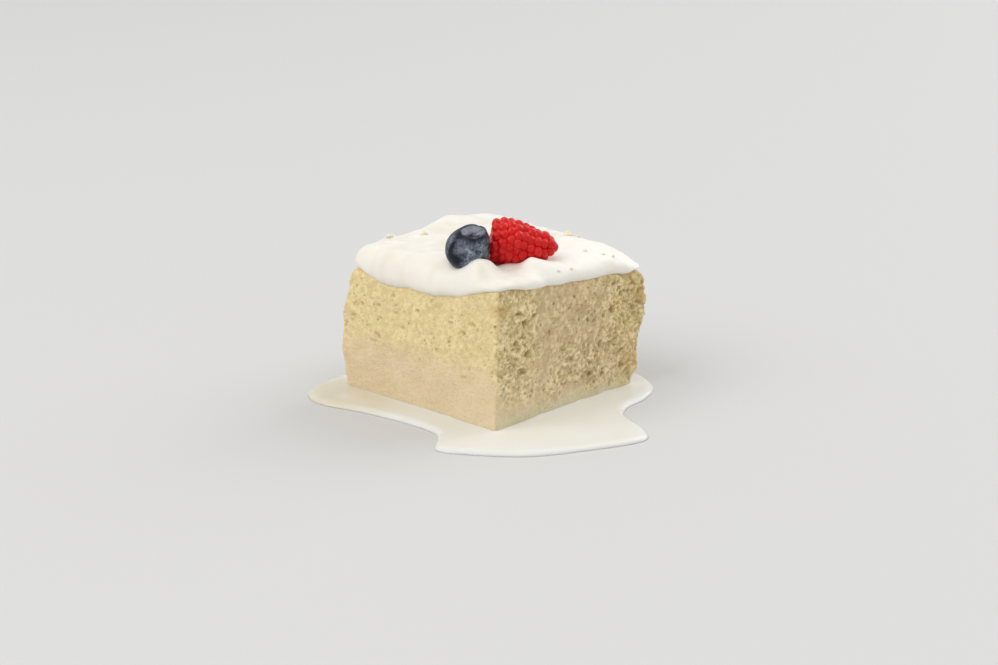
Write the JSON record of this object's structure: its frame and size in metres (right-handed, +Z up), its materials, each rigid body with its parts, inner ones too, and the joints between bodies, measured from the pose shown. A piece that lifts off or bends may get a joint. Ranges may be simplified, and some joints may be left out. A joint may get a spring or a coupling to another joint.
{
  "type": "milk cake",
  "caption": "Square portion of milk-soaked sponge cake under a thick coat of whipped cream, topped with blueberry and raspberry, standing in a pool of sweet milk.",
  "frame": {"origin": "middle of the sponge's flat base, on the surface it stands on", "axes": "+Z up out of the base, X and Y along the sponge's sides, with the tallest upright edge at +X -Y"},
  "size_m": [0.1204, 0.108, 0.0673],
  "materials": {
    "sponge": "soaked pale yellow sponge with an open crumb",
    "cream": "soft whipped cream with a faint sheen",
    "blueberry": "dark blue skin under a grey bloom",
    "raspberry": "moist red beads with fine down",
    "milk": "wet, opaque off-white"
  },
  "bodies": {
    "root": {"sponge": "sponge", "cream": "cream", "blueberry": "blueberry", "raspberry": "raspberry", "milk": "milk"}
  },
  "joints": []
}
